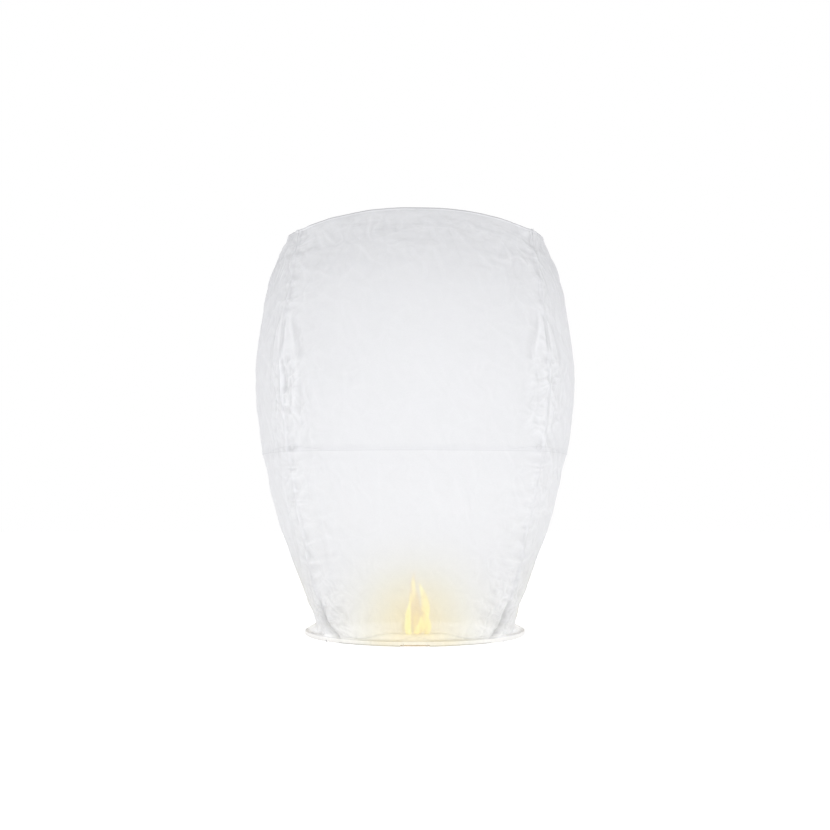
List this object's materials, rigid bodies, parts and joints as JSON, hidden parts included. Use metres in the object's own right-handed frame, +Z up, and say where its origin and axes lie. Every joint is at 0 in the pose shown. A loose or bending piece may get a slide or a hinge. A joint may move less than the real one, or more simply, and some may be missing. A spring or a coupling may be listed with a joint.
{
  "type": "sky lantern",
  "caption": "Tissue-paper sky lantern: four bowed gores and a domed square top on a bamboo hoop, with crossed wires holding a waxed fuel block.",
  "frame": {"origin": "centre of the hoop, in the plane that the paper hem stands on", "axes": "+Z up the lantern's axis towards the top panel; the front gore, with the hoop's overlap under it, faces -Y; the side gores face +X and -X"},
  "size_m": [0.5804, 0.5804, 0.7662],
  "materials": {
    "tissue": "matte",
    "hem_tissue": "matte",
    "bamboo": "satin",
    "thread": "matte",
    "wire": "satin",
    "waxed_pad": "satin",
    "wick_string": "matte"
  },
  "bodies": {
    "frame_and_walls": {"upper_gore_front": "tissue", "upper_gore_right": "tissue", "upper_gore_back": "tissue", "upper_gore_left": "tissue", "lower_gore_front": "tissue", "lower_gore_right": "tissue", "lower_gore_back": "tissue", "lower_gore_left": "tissue", "hem_front": "hem_tissue", "hem_right": "hem_tissue", "hem_back": "hem_tissue", "hem_left": "hem_tissue", "bamboo_hoop": "bamboo", "hoop_binding_left": "thread", "hoop_binding_right": "thread", "cross_wire_left": "wire", "cross_wire_right": "wire", "centre_tie": "wire", "fuel_prongs": "wire"},
    "top": {"top_panel": "tissue"},
    "fuel_cell": {"fuel_pads": "waxed_pad", "fuel_string": "wick_string"}
  },
  "joints": [
    {"name": "envelope_collapse", "type": "slide", "parent": "frame_and_walls", "child": "top", "axis": [0, 0, -1], "range_m": [0, 0.65], "deforming": ["upper_gore_front", "upper_gore_right", "upper_gore_back", "upper_gore_left", "lower_gore_front", "lower_gore_right", "lower_gore_back", "lower_gore_left"]},
    {"name": "fuel_cell_lift", "type": "slide", "parent": "frame_and_walls", "child": "fuel_cell", "axis": [0, 0, 1], "range_m": [0, 0.04]}
  ]
}
